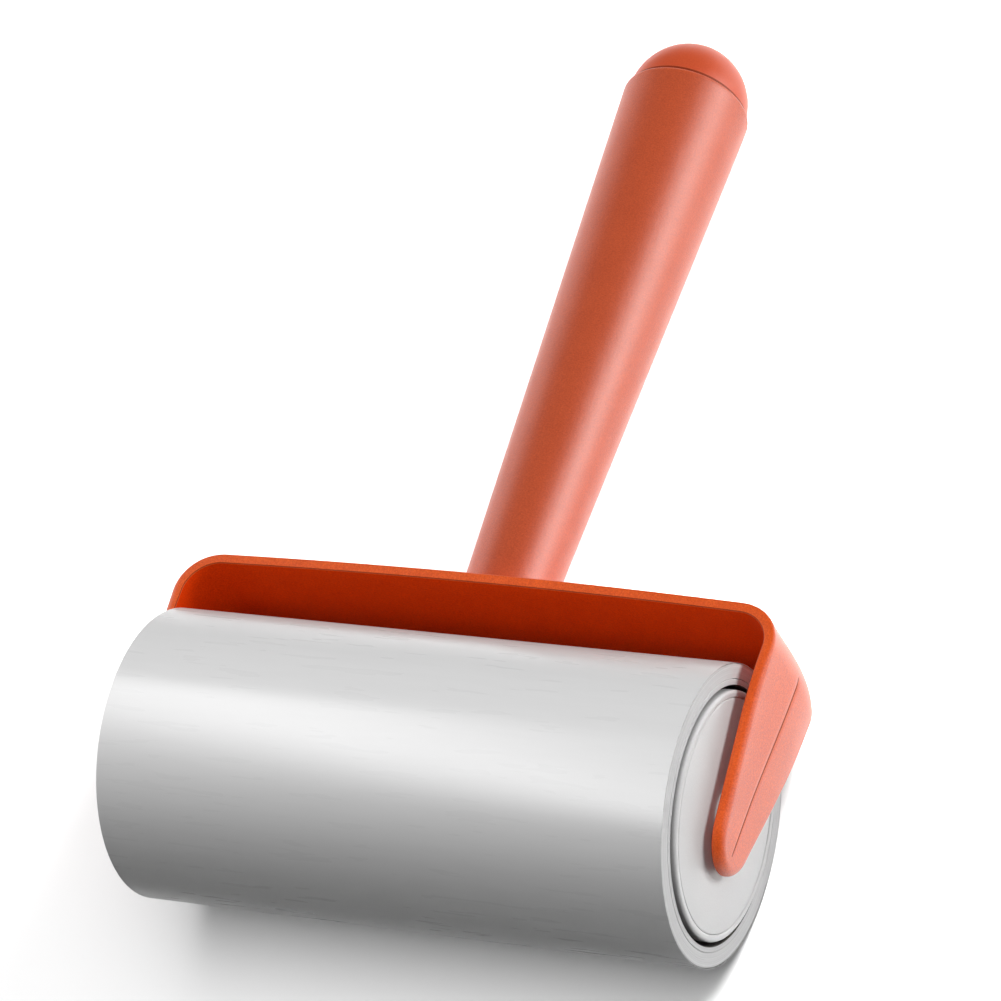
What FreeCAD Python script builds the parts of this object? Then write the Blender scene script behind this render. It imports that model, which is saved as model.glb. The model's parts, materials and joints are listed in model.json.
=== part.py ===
# Lint roller: a thin moulded yoke with a tapered handle carries a free-spinning
# drum, and the drum carries a refill of wound adhesive sheets.
#
# Every piece is drawn upright in the yoke's frame: the roll's axis along X, the
# handle along +Z and the centre of the roll at the origin. One placement then
# lays the whole roller down, with the roll and the handle's rim on the floor.
import FreeCAD, Part
import math
import os

import Sketcher

Vector = FreeCAD.Vector
doc = FreeCAD.newDocument("lint_roller")

# --- driving dimensions, millimetres -----------------------------------------
SIZES = {
    # refill
    "roll_length": 100.0,
    "roll_radius": 24.3,
    "core_bore_radius": 20.7,
    "core_wall": 1.0,
    "sheet_thickness": 0.12,
    "sheet_wrap_degrees": 354.0,
    # drum
    "barrel_radius": 19.4,
    "barrel_wall": 1.6,
    "cap_radius": 20.0,
    "cap_proud": 1.2,
    "cap_flange": 2.6,
    "cap_rim_round": 0.9,
    "cap_skirt_wall": 1.9,
    "cap_skirt_depth": 6.0,
    "hub_radius": 6.0,
    "hub_depth": 3.8,
    "cover_radius": 17.6,
    "cover_thickness": 1.0,
    "cover_recess": 1.15,
    "cover_hole_radius": 4.65,
    "bush_radius": 3.4,
    "bush_flange_radius": 4.6,
    "rib_count": 8,
    "rib_width": 1.2,
    "rib_length": 88.0,
    # pivots
    "pin_radius": 2.0,
    "pin_running_clearance": 0.05,
    "pin_reach": 6.2,
    "pin_tip_chamfer": 0.6,
    "pin_head_radius": 3.2,
    "pin_head_thickness": 0.8,
    "pin_head_cover": 0.4,
    "washer_radius": 4.2,
    "washer_thickness": 0.6,
    # yoke
    "strip_thickness": 1.9,
    "strip_half_width": 11.64,
    "arm_inner_gap": 1.95,
    "arm_inner_lean": 0.0236,
    "arm_outer_lean": 0.0565,
    "washer_seat_clearance": 0.1,
    "crown_height": 33.63,
    "arch_radius": 1281.0,
    "bend_radius": 7.71,
    "tip_radius": 6.65,
    "tip_drop": 3.2,
    "shoulder_height": 23.7,
    "shoulder_radius": 52.0,
    "outer_edge_round": 0.7,
    "inner_edge_round": 0.25,
    "parting_width": 0.24,
    "parting_depth": 0.12,
    "parting_low": -7.5,
    "parting_high": 22.0,
    # joint of yoke and handle
    "seat_radius": 7.1,
    "seat_height": 33.85,
    "spigot_radius": 5.0,
    "spigot_clearance": 0.05,
    "spigot_length": 18.0,
    "key_width": 1.6,
    "key_projection": 1.0,
    "key_length": 12.0,
    "screw_hole_radius": 1.7,
    "screw_hole_depth": 14.0,
    "insert_radius": 2.6,
    "insert_length": 8.0,
    "screw_radius": 1.5,
    "screw_clearance": 0.02,
    "screw_hole_clearance": 0.1,
    "screw_length": 15.0,
    "screw_head_radius": 2.75,
    "screw_head_height": 2.0,
    "screw_socket_radius": 1.45,
    "screw_socket_depth": 1.2,
    "washer_ring_radius": 3.6,
    "washer_ring_thickness": 0.6,
    # handle
    "handle_foot_radius": 7.6,
    "handle_foot_round": 0.5,
    "handle_rim_radius": 11.49,
    "handle_rim_round": 0.8,
    "handle_rim_height": 142.0,
    "handle_wall": 2.0,
    "bulkhead_gap": 0.35,
    "bulkhead_thickness": 2.8,
    "cap_seat_depth": 14.0,
    "dome_radius": 11.07,
    "dome_wall": 2.0,
    "plug_length": 10.0,
    "plug_wall": 1.6,
    "bead_height": 0.2,
    "bead_width": 1.0,
    "bead_from_rim": 6.0,
}

sheet = doc.addObject("Spreadsheet::Sheet", "Sizes")
for row, (alias, number) in enumerate(SIZES.items(), start=1):
    sheet.set(f"A{row}", alias)
    sheet.set(f"B{row}", str(number))
    sheet.setAlias(f"B{row}", alias)
doc.recompute()


class Size:
    """A length that carries its value and the sheet expression behind it."""

    def __init__(self, value, text):
        self.value = value
        self.text = text

    def __add__(self, other):
        other = as_size(other)
        return Size(self.value + other.value, f"({self.text} + {other.text})")

    def __sub__(self, other):
        other = as_size(other)
        return Size(self.value - other.value, f"({self.text} - {other.text})")

    def __mul__(self, other):
        other = as_size(other)
        return Size(self.value * other.value, f"({self.text} * {other.text})")

    def __truediv__(self, other):
        other = as_size(other)
        return Size(self.value / other.value, f"({self.text} / {other.text})")

    def __neg__(self):
        return Size(-self.value, f"(0 - {self.text})")


def as_size(amount):
    if isinstance(amount, Size):
        return amount
    return Size(float(amount), f"{float(amount)}")


def root(amount):
    return Size(math.sqrt(amount.value), f"sqrt({amount.text})")


def size(alias):
    return Size(float(sheet.get(alias)), f"Sizes.{alias}")


ZERO = as_size(0)


# --- helpers -----------------------------------------------------------------
def origin_plane(body, role):
    for feature in body.Origin.OriginFeatures:
        if feature.Role == role:
            return feature
    raise RuntimeError(f"no {role} in {body.Label}")


def new_body(label):
    body = doc.addObject("PartDesign::Body", label)
    body.Label = label
    return body


def new_sketch(body, name, role):
    sketch = body.newObject("Sketcher::SketchObject", name)
    sketch.AttachmentSupport = [(origin_plane(body, role), "")]
    sketch.MapMode = "FlatFace"
    doc.recompute()
    return sketch


def fix_point(sketch, edge, end, point):
    """Tie an edge's end to the place that two sizes give."""
    for kind, axis, amount in (("DistanceX", -2, point[0]), ("DistanceY", -1, point[1])):
        if amount is ZERO:
            sketch.addConstraint(Sketcher.Constraint("PointOnObject", edge, end, axis))
            continue
        index = sketch.addConstraint(Sketcher.Constraint(kind, edge, end, amount.value))
        sketch.setExpression(f"Constraints[{index}]", amount.text)


def add_loop(sketch, points, arcs=None):
    """A closed outline through the points; arcs maps a side to its radius and bulge."""
    arcs = arcs or {}
    count = len(points)
    first = sketch.GeometryCount
    places = [Vector(x.value, y.value, 0) for x, y in points]
    starts = []
    for side in range(count):
        begin = places[side]
        finish = places[(side + 1) % count]
        if side not in arcs:
            sketch.addGeometry(Part.LineSegment(begin, finish), False)
            starts.append((1, 2))
            continue
        radius, bulge = arcs[side]
        chord = finish - begin
        rise = radius.value - math.sqrt(radius.value**2 - (chord.Length / 2) ** 2)
        normal = Vector(-chord.y, chord.x, 0).normalize()
        middle = (begin + finish) * 0.5 + normal * (rise * bulge)
        arc = Part.Arc(begin, middle, finish)
        index = sketch.addGeometry(arc, False)
        at_start = sketch.getPoint(index, 1).distanceToPoint(begin) < 1e-6
        starts.append((1, 2) if at_start else (2, 1))
        ring = sketch.addConstraint(Sketcher.Constraint("Radius", index, radius.value))
        sketch.setExpression(f"Constraints[{ring}]", radius.text)
    for side in range(count):
        after = (side + 1) % count
        meet = Sketcher.Constraint(
            "Coincident", first + side, starts[side][1], first + after, starts[after][0]
        )
        sketch.addConstraint(meet)
    for side, point in enumerate(points):
        fix_point(sketch, first + side, starts[side][0], point)


def checked(feature, grows):
    """Recompute and make sure that the feature really added or removed material."""
    doc.recompute()
    before = feature.BaseFeature.Shape.Volume if feature.BaseFeature else 0.0
    change = feature.Shape.Volume - before
    if (change > 1e-4) != grows or abs(change) < 1e-4:
        raise RuntimeError(f"{feature.Label} changed the volume by {change:.4f}")
    return feature


def turned(body, name, points, axis="H_Axis", arcs=None, cut=False, degrees=None):
    """A turned shape or groove: an outline in the XZ plane swept about X or Z."""
    sketch = new_sketch(body, f"{name}_outline", "XZ_Plane")
    add_loop(sketch, points, arcs)
    kind = "PartDesign::Groove" if cut else "PartDesign::Revolution"
    feature = body.newObject(kind, name)
    feature.Profile = (sketch, [""])
    feature.ReferenceAxis = (sketch, [axis])
    feature.Angle = 360.0
    if degrees is not None:
        feature.setExpression("Angle", degrees.text)
    return checked(feature, not cut)


def padded(body, name, role, points, length, both_ways=True, cut=False):
    """A straight extrusion or pocket of an outline."""
    sketch = new_sketch(body, f"{name}_outline", role)
    add_loop(sketch, points)
    kind = "PartDesign::Pocket" if cut else "PartDesign::Pad"
    feature = body.newObject(kind, name)
    feature.Profile = (sketch, [""])
    feature.Midplane = both_ways
    feature.setExpression("Length", length.text)
    return checked(feature, not cut)


def rounded(body, name, base, picks, radius):
    """Round the edges of the base feature that the test picks."""
    names = [f"Edge{i}" for i, edge in enumerate(base.Shape.Edges, start=1) if picks(edge)]
    if not names:
        raise RuntimeError(f"{name} found no edge")
    feature = body.newObject("PartDesign::Fillet", name)
    feature.Base = (base, names)
    feature.setExpression("Radius", radius.text)
    doc.recompute()
    return feature


def middle_of(edge):
    first, last = edge.ParameterRange
    return edge.valueAt((first + last) / 2)


# --- derived places ----------------------------------------------------------
half_roll = size("roll_length") / 2
cap_face = half_roll + size("cap_proud")
cap_back = cap_face - size("cap_flange")
cover_floor = cap_face - size("cover_recess")
barrel_bore = size("barrel_radius") - size("barrel_wall")
arm_inner = half_roll + size("arm_inner_gap")
arm_outer = arm_inner + size("strip_thickness")
head_outer = arm_outer - size("pin_head_cover")
head_inner = head_outer - size("pin_head_thickness")
pin_tip = arm_inner - size("pin_reach")
seat_height = size("seat_height")
spigot_top = seat_height + size("spigot_length")
bulkhead_low = spigot_top + size("bulkhead_gap")
bulkhead_high = bulkhead_low + size("bulkhead_thickness")
rim_height = size("handle_rim_height")
rim_bore = size("handle_rim_radius") - size("handle_wall")
bead_middle = rim_height - size("bead_from_rim")


# --- refill ------------------------------------------------------------------
def ring_along_x(label, inner, outer, low, high, degrees=None):
    body = new_body(label)
    corners = [(low, inner), (high, inner), (high, outer), (low, outer)]
    turned(body, "ring", corners, degrees=degrees)
    return body


def make_refill():
    core_outer = size("core_bore_radius") + size("core_wall")
    roll_radius = size("roll_radius")
    wound_outer = roll_radius - size("sheet_thickness")
    return [
        ring_along_x("paper_core", size("core_bore_radius"), core_outer, -half_roll, half_roll),
        ring_along_x("adhesive_roll", core_outer, wound_outer, -half_roll, half_roll),
        ring_along_x("outer_sheet", wound_outer, roll_radius, -half_roll, half_roll,
                     size("sheet_wrap_degrees")),
    ]


# --- drum --------------------------------------------------------------------
def make_barrel():
    """The drum's tube, with ribs along it that grip the bore of the paper core."""
    body = new_body("drum_barrel")
    outer = size("barrel_radius")
    corners = [(-cap_back, barrel_bore), (cap_back, barrel_bore),
               (cap_back, outer), (-cap_back, outer)]
    turned(body, "tube", corners)
    half_rib = size("rib_length") / 2
    rib_low = barrel_bore + size("barrel_wall") / 2
    rib_high = size("core_bore_radius")
    lead_in = rib_high - outer
    side = [(-half_rib, rib_low), (half_rib, rib_low), (half_rib, outer),
            (half_rib - lead_in, rib_high), (-(half_rib - lead_in), rib_high),
            (-half_rib, outer)]
    rib = padded(body, "rib", "XZ_Plane", side, size("rib_width"))
    ring = body.newObject("PartDesign::PolarPattern", "ribs")
    ring.Originals = [rib]
    ring.Axis = (origin_plane(body, "X_Axis"), [""])
    ring.Angle = 360.0
    ring.setExpression("Occurrences", size("rib_count").text)
    body.Tip = ring
    doc.recompute()
    return body


def mirrored_points(points, sign):
    """The outline for the right end, or its mirror image for the left end."""
    if sign > 0:
        return points
    return [(-x, y) for x, y in reversed(points)]


def make_drum_cap(side, sign):
    """The end cap: a flange with a rounded rim, a skirt in the barrel and a hub."""
    body = new_body(f"{side}_drum_cap")
    skirt_end = cap_back - size("cap_skirt_depth")
    skirt_bore = barrel_bore - size("cap_skirt_wall")
    hub_end = cap_back - size("hub_depth")
    points = [
        (hub_end, size("bush_radius")), (cover_floor, size("bush_radius")),
        (cover_floor, size("cover_radius")), (cap_face, size("cover_radius")),
        (cap_face, size("cap_radius")), (cap_back, size("cap_radius")),
        (cap_back, barrel_bore), (skirt_end, barrel_bore),
        (skirt_end, skirt_bore), (cap_back, skirt_bore),
        (cap_back, size("hub_radius")), (hub_end, size("hub_radius")),
    ]
    shell = turned(body, "shell", mirrored_points(points, sign))
    rim_radius = size("cap_radius").value

    def outer_rim(edge):
        place = middle_of(edge)
        reach = math.hypot(place.y, place.z)
        return abs(abs(place.x) - cap_face.value) < 1e-3 and abs(reach - rim_radius) < 1e-3

    rounded(body, "rim_round", shell, outer_rim, size("cap_rim_round"))
    return body


def make_cover_disc(side, sign):
    """The flat disc let into the cap's face, which hides the bush's seat."""
    outer = size("cover_radius")
    face = cover_floor + size("cover_thickness")
    body = new_body(f"{side}_cover_disc")
    hole = size("cover_hole_radius")
    points = [(cover_floor, hole), (face, hole), (face, outer), (cover_floor, outer)]
    turned(body, "disc", mirrored_points(points, sign))
    return body


def make_bush(side, sign):
    """The acetal bush, pressed into the hub, that turns on the pivot pin."""
    bore = size("pin_radius") + size("pin_running_clearance")
    inner_end = cap_back - size("hub_depth")
    body = new_body(f"{side}_bush")
    points = [
        (inner_end, bore), (cap_face, bore), (cap_face, size("bush_flange_radius")),
        (cover_floor, size("bush_flange_radius")), (cover_floor, size("bush_radius")),
        (inner_end, size("bush_radius")),
    ]
    turned(body, "bush", mirrored_points(points, sign))
    return body


# --- pivots ------------------------------------------------------------------
def make_pivot_pin(side, sign):
    """The steel stub pin whose head is moulded into the arm."""
    body = new_body(f"{side}_pivot_pin")
    radius = size("pin_radius")
    chamfer = size("pin_tip_chamfer")
    points = [
        (pin_tip, ZERO), (head_outer, ZERO), (head_outer, size("pin_head_radius")),
        (head_inner, size("pin_head_radius")), (head_inner, radius),
        (pin_tip + chamfer, radius), (pin_tip, radius - chamfer),
    ]
    turned(body, "pin", mirrored_points(points, sign))
    return body


def make_thrust_washer(side, sign):
    """The nylon washer that keeps the drum's cap off the arm."""
    inner = size("pin_radius") + size("pin_running_clearance")
    low = arm_inner - size("washer_thickness")
    body = new_body(f"{side}_thrust_washer")
    outer = size("washer_radius")
    points = [(low, inner), (arm_inner, inner), (arm_inner, outer), (low, outer)]
    turned(body, "washer", mirrored_points(points, sign))
    return body


# --- yoke --------------------------------------------------------------------
def arm_outer_at(height):
    """How far out the arm's outer face lies at a height above the roll's axis."""
    return arm_outer + size("arm_outer_lean") * height


def arm_inner_at(height):
    return arm_inner + size("arm_inner_lean") * height


def make_strip(body):
    """The thin strip bent over the roll: a flat arch with two arms.

    The arms lean in towards their tips, and thicken towards the bends."""
    foot = -(size("tip_drop") + size("tip_radius") * 2)
    outer_arch = size("arch_radius")
    inner_arch = outer_arch - size("strip_thickness")
    crown = size("crown_height")

    def arch_height(across, radius, top):
        return top - radius + root(radius * radius - across * across)

    outer_top = arm_outer_at(crown)
    inner_top = arm_inner_at(crown - size("strip_thickness"))
    outer_corner = arch_height(outer_top, outer_arch, crown)
    inner_corner = arch_height(inner_top, inner_arch, crown - size("strip_thickness"))
    outer_foot = arm_outer_at(foot)
    inner_foot = arm_inner_at(foot)
    points = [
        (outer_foot, foot), (outer_top, outer_corner), (-outer_top, outer_corner),
        (-outer_foot, foot), (-inner_foot, foot), (-inner_top, inner_corner),
        (inner_top, inner_corner), (inner_foot, foot),
    ]
    sketch = new_sketch(body, "strip_outline", "XZ_Plane")
    add_loop(sketch, points, {1: (outer_arch, -1), 5: (inner_arch, 1)})
    strip = body.newObject("PartDesign::Pad", "strip")
    strip.Profile = (sketch, [""])
    strip.Midplane = True
    strip.setExpression("Length", (size("strip_half_width") * 2).text)
    checked(strip, True)

    def corner_at(across, height):
        def picks(edge):
            place = middle_of(edge)
            return (abs(abs(place.x) - across.value) < 1e-3
                    and abs(place.z - height.value) < 1e-2)
        return picks

    bend = size("bend_radius")
    outer_bend = rounded(body, "outer_bend", strip, corner_at(outer_top, outer_corner), bend)
    return rounded(body, "inner_bend", outer_bend, corner_at(inner_top, inner_corner),
                   bend - size("strip_thickness"))


def add_arm_outline(sketch):
    """The arm seen from its side: a round tip, straight tapers and soft shoulders."""
    half_width = size("strip_half_width")
    shoulder = size("shoulder_height")
    shoulder_radius = size("shoulder_radius")
    tip_radius = size("tip_radius")
    tip_drop = size("tip_drop")
    # The taper is the common tangent of the shoulder's circle and the tip's circle.
    across = half_width.value - shoulder_radius.value
    rise = shoulder.value + tip_drop.value
    lean = math.asin((tip_radius.value - shoulder_radius.value) / math.hypot(across, rise))
    taper = math.atan2(across, rise) - lean
    outward = Vector(math.cos(taper), -math.sin(taper), 0)
    shoulder_centre = Vector(across, shoulder.value, 0)
    tip_centre = Vector(0, -tip_drop.value, 0)
    outline_top = size("crown_height") + tip_radius
    top = outline_top.value
    arm_side = []
    for mirror in (1, -1):
        def flip(place, mirror=mirror):
            return Vector(place.x * mirror, place.y, 0)
        half_turn = Vector(math.cos(taper / 2), -math.sin(taper / 2), 0)
        high = Vector(half_width.value, top, 0)
        shoulder_start = Vector(half_width.value, shoulder.value, 0)
        shoulder_middle = shoulder_centre + half_turn * shoulder_radius.value
        shoulder_end = shoulder_centre + outward * shoulder_radius.value
        tip_start = tip_centre + outward * tip_radius.value
        arm_side.append([flip(p) for p in
                         (high, shoulder_start, shoulder_middle, shoulder_end, tip_start)])
    right, left = arm_side
    tip_low = tip_centre + Vector(0, -tip_radius.value, 0)
    edges = [
        Part.LineSegment(left[0], right[0]),
        Part.LineSegment(right[0], right[1]),
        Part.Arc(right[1], right[2], right[3]),
        Part.LineSegment(right[3], right[4]),
        Part.Arc(right[4], tip_low, left[4]),
        Part.LineSegment(left[4], left[3]),
        Part.Arc(left[3], left[2], left[1]),
        Part.LineSegment(left[1], left[0]),
    ]
    first = sketch.GeometryCount
    sketch.addGeometry(edges, False)
    corners = [left[0], right[0], right[1], right[3], right[4], left[4], left[3], left[1]]
    ends = []
    for offset, corner in enumerate(corners):
        at_start = sketch.getPoint(first + offset, 1).distanceToPoint(corner) < 1e-6
        ends.append((1, 2) if at_start else (2, 1))
    for offset in range(len(edges)):
        after = (offset + 1) % len(edges)
        smooth = offset in (1, 2, 3, 4, 5, 6)
        kind = "Tangent" if smooth else "Coincident"
        sketch.addConstraint(Sketcher.Constraint(
            kind, first + offset, ends[offset][1], first + after, ends[after][0]))
    for offset, radius in ((2, shoulder_radius), (4, tip_radius), (6, shoulder_radius)):
        index = sketch.addConstraint(
            Sketcher.Constraint("Radius", first + offset, radius.value))
        sketch.setExpression(f"Constraints[{index}]", radius.text)
    fix_point(sketch, first, ends[0][0], (-half_width, outline_top))
    fix_point(sketch, first + 1, ends[1][0], (half_width, outline_top))
    fix_point(sketch, first + 2, ends[2][0], (half_width, shoulder))
    fix_point(sketch, first + 4, 3, (ZERO, -tip_drop))
    level = sketch.addConstraint(Sketcher.Constraint(
        "DistanceY", first + 6, ends[6][1], shoulder.value))
    sketch.setExpression(f"Constraints[{level}]", shoulder.text)


def is_side_face(face):
    """True for the faces that bound the strip's width, along X in every case."""
    surface = face.Surface
    if isinstance(surface, Part.Plane):
        return abs(surface.Axis.x) < 1e-6 and abs(surface.Axis.y) > 0.5
    return isinstance(surface, Part.Cylinder) and abs(surface.Axis.x) > 0.999


def distance_from_middle(place):
    """How far a point of the strip lies outside the middle of its thickness."""
    half = size("strip_thickness").value / 2
    bend = size("bend_radius").value
    crown = size("crown_height")
    sag = place.x**2 / (2 * size("arch_radius").value)
    bend_x = arm_outer_at(crown).value - bend
    bend_z = crown.value - bend - bend_x**2 / (2 * size("arch_radius").value)
    across = abs(place.x)
    if place.z < bend_z:
        height = as_size(place.z)
        return across - (arm_outer_at(height).value + arm_inner_at(height).value) / 2
    if across < bend_x:
        return place.z - (crown.value - half - sag)
    return math.hypot(across - bend_x, place.z - bend_z) - (bend - half)


def round_strip_edges(body, base, name, outer, radius):
    side_edges = [edge for face in base.Shape.Faces if is_side_face(face)
                  for edge in face.Edges]
    limit = size("strip_thickness").value / 4

    def picks(edge):
        if not any(edge.isSame(other) for other in side_edges):
            return False
        offset = distance_from_middle(middle_of(edge))
        return offset > limit if outer else offset < -limit

    return rounded(body, name, base, picks, radius)


def make_yoke():
    body = new_body("yoke")
    strip = make_strip(body)
    sketch = new_sketch(body, "arm_outline", "YZ_Plane")
    reach = size("strip_half_width") * 2
    low = -(size("tip_drop") + size("tip_radius") * 3)
    high = size("crown_height") + size("tip_radius") * 2
    add_loop(sketch, [(-reach, low), (reach, low), (reach, high), (-reach, high)])
    add_arm_outline(sketch)
    trim = body.newObject("PartDesign::Pocket", "arm_trim")
    trim.Profile = (sketch, [""])
    trim.Midplane = True
    trim.setExpression("Length", (arm_outer * 4).text)
    checked(trim, False)
    outer = round_strip_edges(body, trim, "outer_edges", True, size("outer_edge_round"))
    inner = round_strip_edges(body, outer, "inner_edges", False, size("inner_edge_round"))
    body.Tip = inner

    # seat and spigot for the handle
    buried = seat_height - size("strip_thickness")
    hole_low = spigot_top - size("screw_hole_depth")
    insert_low = spigot_top - size("insert_length")
    boss = [
        (ZERO, buried), (size("seat_radius"), buried), (size("seat_radius"), seat_height),
        (size("spigot_radius"), seat_height), (size("spigot_radius"), spigot_top),
        (size("insert_radius"), spigot_top), (size("insert_radius"), insert_low),
        (size("screw_hole_radius"), insert_low), (size("screw_hole_radius"), hole_low),
        (ZERO, hole_low),
    ]
    turned(body, "spigot", boss, axis="V_Axis")
    half_key = size("key_width") / 2
    key_outer = size("spigot_radius") + size("key_projection")
    key_inner = size("spigot_radius") - size("key_projection")
    key = [(-half_key, -key_outer), (half_key, -key_outer),
           (half_key, -key_inner), (-half_key, -key_inner)]
    key_sketch = new_sketch(body, "key_outline", "XY_Plane")
    key_sketch.setExpression("AttachmentOffset.Base.z", seat_height.text)
    add_loop(key_sketch, key)
    key_pad = body.newObject("PartDesign::Pad", "key")
    key_pad.Profile = (key_sketch, [""])
    key_pad.setExpression("Length", size("key_length").text)
    checked(key_pad, True)

    # pockets that the moulded-in pin heads fill, with flat seats for the washers
    inside = arm_inner - size("strip_thickness")
    radius = size("pin_radius")
    washer_seat = size("washer_radius") + size("washer_seat_clearance")
    pocket = [
        (inside, ZERO), (head_outer, ZERO), (head_outer, size("pin_head_radius")),
        (head_inner, size("pin_head_radius")), (head_inner, radius), (arm_inner, radius),
        (arm_inner, washer_seat), (inside, washer_seat),
    ]
    for side, sign in (("right", 1), ("left", -1)):
        turned(body, f"{side}_pin_pocket", mirrored_points(pocket, sign), cut=True)

    # the mould's parting line, scored down the middle of each arm
    low = size("parting_low")
    high = size("parting_high")
    depth = size("parting_depth")
    outside = arm_outer_at(high) + size("strip_thickness")
    line = [(arm_outer_at(low) - depth, low), (outside, low),
            (outside, high), (arm_outer_at(high) - depth, high)]
    for side, sign in (("right", 1), ("left", -1)):
        padded(body, f"{side}_parting_line", "XZ_Plane", mirrored_points(line, sign),
               size("parting_width"), cut=True)
    return body


# --- handle ------------------------------------------------------------------
def make_handle_tube():
    """The tapered grip: socket for the spigot, bulkhead for the screw, open top."""
    body = new_body("handle_tube")
    socket = size("spigot_radius") + size("spigot_clearance")
    hole = size("screw_radius") + size("screw_hole_clearance")
    foot = size("handle_foot_radius")
    rim = size("handle_rim_radius")
    slope = (rim - foot) / (rim_height - seat_height)
    low_bore = foot + slope * (bulkhead_high - seat_height) - size("handle_wall")
    seat_low = rim_height - size("cap_seat_depth")
    bead = size("bead_height")
    half_bead = size("bead_width") / 2
    points = [
        (socket, seat_height), (foot, seat_height), (rim, rim_height), (rim_bore, rim_height),
        (rim_bore, bead_middle + half_bead), (rim_bore + bead, bead_middle),
        (rim_bore, bead_middle - half_bead), (rim_bore, seat_low),
        (low_bore, bulkhead_high), (hole, bulkhead_high), (hole, bulkhead_low),
        (socket, bulkhead_low),
    ]
    tube = turned(body, "tube", points, axis="V_Axis")

    def at_ring(radius, height):
        def picks(edge):
            place = middle_of(edge)
            reach = math.hypot(place.x, place.y)
            return abs(reach - radius.value) < 1e-3 and abs(place.z - height.value) < 1e-3
        return picks

    rim_edge = rounded(body, "rim_round", tube, at_ring(rim, rim_height),
                       size("handle_rim_round"))
    rounded(body, "foot_round", rim_edge, at_ring(foot, seat_height),
            size("handle_foot_round"))
    half_key = size("key_width") / 2 + size("spigot_clearance")
    key_outer = size("spigot_radius") + size("key_projection") + size("spigot_clearance")
    keyway = [(-half_key, -key_outer), (half_key, -key_outer), (half_key, ZERO), (-half_key, ZERO)]
    sketch = new_sketch(body, "keyway_outline", "XY_Plane")
    sketch.setExpression("AttachmentOffset.Base.z", seat_height.text)
    add_loop(sketch, keyway)
    slot = body.newObject("PartDesign::Pocket", "keyway")
    slot.Profile = (sketch, [""])
    slot.Reversed = True
    slot.setExpression("Length", (size("key_length") + size("bulkhead_gap")).text)
    checked(slot, False)
    return body


def make_handle_end_cap():
    """The dome that closes the handle, with a plug and a snap bead."""
    body = new_body("handle_end_cap")
    dome = size("dome_radius")
    inside = dome - size("dome_wall")
    plug_low = rim_height - size("plug_length")
    plug_bore = rim_bore - size("plug_wall")
    bead = size("bead_height")
    half_bead = size("bead_width") / 2
    roof = root(inside * inside - plug_bore * plug_bore)
    points = [
        (ZERO, rim_height + inside), (ZERO, rim_height + dome), (dome, rim_height),
        (rim_bore, rim_height), (rim_bore, bead_middle + half_bead),
        (rim_bore + bead, bead_middle), (rim_bore, bead_middle - half_bead),
        (rim_bore, plug_low), (plug_bore, plug_low), (plug_bore, rim_height + roof),
    ]
    turned(body, "dome", points, axis="V_Axis", arcs={1: (dome, 1), 9: (inside, -1)})
    return body


def make_spigot_insert():
    """The brass threaded insert in the top of the yoke's spigot."""
    body = new_body("spigot_insert")
    bore = size("screw_radius") + size("screw_clearance")
    low = spigot_top - size("insert_length")
    points = [(bore, low), (size("insert_radius"), low),
              (size("insert_radius"), spigot_top), (bore, spigot_top)]
    turned(body, "insert", points, axis="V_Axis")
    return body


def make_handle_washer():
    body = new_body("handle_screw_washer")
    bore = size("screw_radius") + size("screw_clearance")
    high = bulkhead_high + size("washer_ring_thickness")
    points = [(bore, bulkhead_high), (size("washer_ring_radius"), bulkhead_high),
              (size("washer_ring_radius"), high), (bore, high)]
    turned(body, "washer", points, axis="V_Axis")
    return body


def make_handle_screw():
    """The screw that draws the handle down on the yoke, driven from the open top."""
    body = new_body("handle_screw")
    seat = bulkhead_high + size("washer_ring_thickness")
    head_top = seat + size("screw_head_height")
    low = seat - size("screw_length")
    points = [(ZERO, low), (size("screw_radius"), low), (size("screw_radius"), seat),
              (size("screw_head_radius"), seat), (size("screw_head_radius"), head_top),
              (ZERO, head_top)]
    turned(body, "screw", points, axis="V_Axis")
    sketch = new_sketch(body, "socket_outline", "XY_Plane")
    sketch.setExpression("AttachmentOffset.Base.z", head_top.text)
    corner = size("screw_socket_radius")
    across = corner * root(as_size(3)) / 2
    add_loop(sketch, [(corner, ZERO), (corner / 2, across), (-(corner / 2), across),
                      (-corner, ZERO), (-(corner / 2), -across), (corner / 2, -across)])
    socket = body.newObject("PartDesign::Pocket", "hex_socket")
    socket.Profile = (sketch, [""])
    socket.setExpression("Length", size("screw_socket_depth").text)
    checked(socket, False)
    return body


# --- build and lay down ------------------------------------------------------
pieces = make_refill()
pieces.append(make_barrel())
for side, sign in (("left", -1), ("right", 1)):
    pieces.append(make_drum_cap(side, sign))
    pieces.append(make_cover_disc(side, sign))
    pieces.append(make_bush(side, sign))
    pieces.append(make_pivot_pin(side, sign))
    pieces.append(make_thrust_washer(side, sign))
pieces.append(make_yoke())
pieces.append(make_handle_tube())
pieces.append(make_handle_end_cap())
pieces.append(make_spigot_insert())
pieces.append(make_handle_washer())
pieces.append(make_handle_screw())

# The roller rests on its roll and on the rounded rim of the handle.
rim_round = size("handle_rim_round").value
rim_along = rim_height.value - rim_round
rim_across = size("handle_rim_radius").value - rim_round
roll_radius = size("roll_radius").value
reach = math.hypot(rim_along, rim_across)
dip = math.asin((roll_radius - rim_round) / reach) - math.atan2(rim_across, rim_along)
dome_end = rim_height.value * math.cos(dip) + size("dome_radius").value
roll_back = (dome_end - roll_radius) / 2
rest = FreeCAD.Placement(
    Vector(0, -roll_back, roll_radius),
    FreeCAD.Rotation(Vector(1, 0, 0), -(90 + math.degrees(dip))),
)
for piece in pieces:
    piece.Placement = rest
doc.recompute()
print(f"handle dips {math.degrees(dip):.4f} degrees, roll centre at y = {-roll_back:.4f}")

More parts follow.
